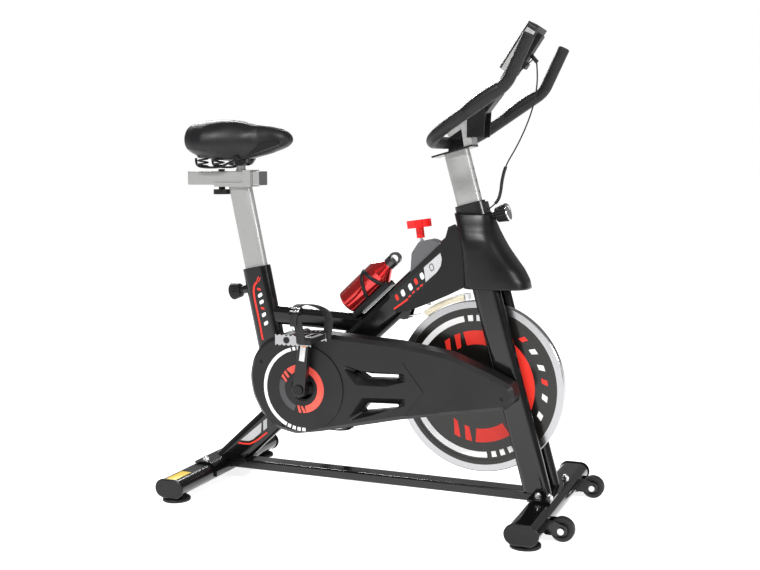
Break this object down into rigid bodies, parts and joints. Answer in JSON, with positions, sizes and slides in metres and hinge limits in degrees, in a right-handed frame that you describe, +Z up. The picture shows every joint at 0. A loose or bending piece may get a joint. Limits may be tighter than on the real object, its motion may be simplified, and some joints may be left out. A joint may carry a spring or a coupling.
{
  "type": "indoor spin bike",
  "caption": "Stationary exercise bike with a heavy flywheel, felt brake, adjustable seat and handlebar, display and bottle holder.",
  "frame": {"origin": "on the floor, at the middle of the bike's bounding box", "axes": "+X forward to the flywheel end, +Y to the rider's left, +Z up"},
  "size_m": [1.0125, 0.52, 1.0972],
  "materials": {
    "black_paint": "gloss black powder coat",
    "raw_axle": "ground steel",
    "cast_black": "black enamelled casting, polished rim",
    "crank_steel": "satin plated steel",
    "post_silver": "brushed, clear coated",
    "zinc": "bright zinc plate",
    "chrome_trim": "polished",
    "shell_plastic": "moulded, lightly glossy",
    "matt_plastic": "moulded, fine texture",
    "red_plastic": "moulded red",
    "rubber": "moulded rubber",
    "foam": "closed-cell grip",
    "belt": "ribbed belt",
    "saddle_skin": "grained synthetic leather",
    "felt": "pressed wool felt",
    "bottle_red": "red anodised",
    "strap": "flexible strap",
    "screen": "clear window",
    "cable": "sheathed cable"
  },
  "bodies": {
    "frame": {"main_beam": "black_paint", "seat_tube": "black_paint", "brace_tube": "black_paint", "head_tube": "black_paint", "fork": "black_paint", "bottom_bar": "black_paint", "bearings": "raw_axle", "rear_stabiliser": "black_paint", "front_stabiliser": "black_paint", "end_caps": "matt_plastic", "frame_fasteners": "zinc", "chain_cover_outer": "shell_plastic", "chain_cover_inner": "shell_plastic", "drive_belt": "belt", "head_shroud": "matt_plastic", "tension_cover": "matt_plastic", "post_bushings": "matt_plastic", "bottle_cage": "matt_plastic"},
    "crank": {"crank_spindle": "raw_axle", "crank_arms": "black_paint", "drive_pulley": "shell_plastic", "pedal_axles": "raw_axle"},
    "pedal_right": {"pedal_right": "crank_steel", "pedal_strap_right": "strap"},
    "pedal_left": {"pedal_left": "crank_steel", "pedal_strap_left": "strap"},
    "flywheel": {"flywheel": "cast_black", "flywheel_axle": "raw_axle", "driven_pulley": "raw_axle"},
    "brake_rod": {"brake_rod": "zinc"},
    "resistance_knob": {"resistance_knob": "red_plastic"},
    "brake_arm": {"brake_arm": "zinc", "brake_pad": "felt"},
    "bottle": {"bottle": "bottle_red"},
    "seat_post": {"seat_post": "post_silver"},
    "seat_pin": {"seat_post_knob": "matt_plastic"},
    "slider": {"slider_rail": "post_silver", "saddle_clamp": "black_paint"},
    "slider_knob": {"slider_knob": "matt_plastic"},
    "saddle": {"saddle_rails": "black_paint", "saddle_base": "matt_plastic", "saddle_cushion": "saddle_skin"},
    "handlebar": {"handlebar_post": "post_silver", "stem": "post_silver", "handlebar_tube": "zinc", "foam_grips": "foam", "pulse_sensors": "chrome_trim", "console_arm": "matt_plastic", "console_case": "matt_plastic", "console_screen": "screen", "sensor_cable": "cable", "pulse_lead": "cable"},
    "console_button": {"console_button": "red_plastic"},
    "head_pin": {"head_knob": "matt_plastic"},
    "wheel_right": {"transport_wheel_right": "rubber"},
    "wheel_left": {"transport_wheel_left": "rubber"},
    "foot_rear_right": {"foot_rear_right": "rubber"},
    "foot_rear_left": {"foot_rear_left": "rubber"},
    "foot_front_right": {"foot_front_right": "rubber"},
    "foot_front_left": {"foot_front_left": "rubber"}
  },
  "joints": [
    {"name": "crank_spin", "type": "hinge", "parent": "frame", "child": "crank", "pos_m": [-0.146, 0, 0.274], "axis": [0, 1, 0], "continuous": true},
    {"name": "flywheel_spin", "type": "hinge", "parent": "frame", "child": "flywheel", "pos_m": [0.246, 0, 0.285], "axis": [0, 1, 0], "continuous": true},
    {"name": "pedal_right_spin", "type": "hinge", "parent": "crank", "child": "pedal_right", "pos_m": [-0.12864, -0.196, 0.40586], "axis": [0, 1, 0], "continuous": true},
    {"name": "pedal_left_spin", "type": "hinge", "parent": "crank", "child": "pedal_left", "pos_m": [-0.16336, 0.196, 0.14214], "axis": [0, 1, 0], "continuous": true},
    {"name": "brake_rod_slide", "type": "slide", "parent": "frame", "child": "brake_rod", "axis": [0.13, 0, -0.9915], "range_m": [-0.003, 0.0005]},
    {"name": "brake_arm_swing", "type": "hinge", "parent": "frame", "child": "brake_arm", "pos_m": [0.066, 0, 0.438], "axis": [0, 1, 0], "range_deg": [-2.99, 0.54]},
    {"name": "resistance_knob_turn", "type": "hinge", "parent": "brake_rod", "child": "resistance_knob", "pos_m": [0.096, 0, 0.664], "axis": [-0.13, 0, 0.9915], "range_deg": [-180, 720]},
    {"name": "bottle_lift", "type": "slide", "parent": "frame", "child": "bottle", "axis": [0.7352, 0, 0.6779], "range_m": [0, 0.04]},
    {"name": "seat_height", "type": "slide", "parent": "frame", "child": "seat_post", "axis": [-0.2045, 0, 0.9789], "range_m": [-0.12, 0.06]},
    {"name": "seat_pin_pull", "type": "slide", "parent": "frame", "child": "seat_pin", "axis": [-0.9789, 0, -0.2045], "range_m": [0, 0.01], "stiffness_N_per_m": 1500, "springref_m": -0.004},
    {"name": "seat_slide", "type": "slide", "parent": "seat_post", "child": "slider", "axis": [1, 0, 0], "range_m": [-0.03, 0]},
    {"name": "slider_knob_turn", "type": "hinge", "parent": "seat_post", "child": "slider_knob", "pos_m": [-0.423, 0, 0.725], "axis": [0, 0, 1], "range_deg": [-360, 360]},
    {"name": "saddle_tilt", "type": "hinge", "parent": "slider", "child": "saddle", "pos_m": [-0.358, 0, 0.806], "axis": [0, 1, 0], "range_deg": [-8, 8]},
    {"name": "handlebar_height", "type": "slide", "parent": "frame", "child": "handlebar", "axis": [-0.2622, 0, 0.965], "range_m": [-0.075, 0.053], "deforming": ["sensor_cable"]},
    {"name": "head_pin_pull", "type": "slide", "parent": "frame", "child": "head_pin", "axis": [0.965, 0, 0.2622], "range_m": [0, 0.01], "stiffness_N_per_m": 1500, "springref_m": -0.004},
    {"name": "console_button_press", "type": "slide", "parent": "handlebar", "child": "console_button", "axis": [0.829, 0, -0.5592], "range_m": [0, 0.001], "stiffness_N_per_m": 800, "springref_m": -0.0005},
    {"name": "wheel_right_spin", "type": "hinge", "parent": "frame", "child": "wheel_right", "pos_m": [0.4785, -0.163, 0.027], "axis": [0, 1, 0], "continuous": true},
    {"name": "wheel_left_spin", "type": "hinge", "parent": "frame", "child": "wheel_left", "pos_m": [0.4785, 0.163, 0.027], "axis": [0, 1, 0], "continuous": true},
    {"name": "foot_rear_right_turn", "type": "hinge", "parent": "frame", "child": "foot_rear_right", "pos_m": [-0.4403, -0.211, 0.0035], "axis": [0, 0, 1], "range_deg": [-360, 360]},
    {"name": "foot_rear_left_turn", "type": "hinge", "parent": "frame", "child": "foot_rear_left", "pos_m": [-0.4403, 0.211, 0.0035], "axis": [0, 0, 1], "range_deg": [-360, 360]},
    {"name": "foot_front_right_turn", "type": "hinge", "parent": "frame", "child": "foot_front_right", "pos_m": [0.4132, -0.22, 0.0035], "axis": [0, 0, 1], "range_deg": [-360, 360]},
    {"name": "foot_front_left_turn", "type": "hinge", "parent": "frame", "child": "foot_front_left", "pos_m": [0.4132, 0.22, 0.0035], "axis": [0, 0, 1], "range_deg": [-360, 360]}
  ],
  "couplings": [
    {"joint": "flywheel_spin", "follows": "crank_spin", "ratio": 2.6667},
    {"joint": "brake_arm_swing", "follows": "brake_rod_slide", "rad_per_m": 17.09}
  ]
}
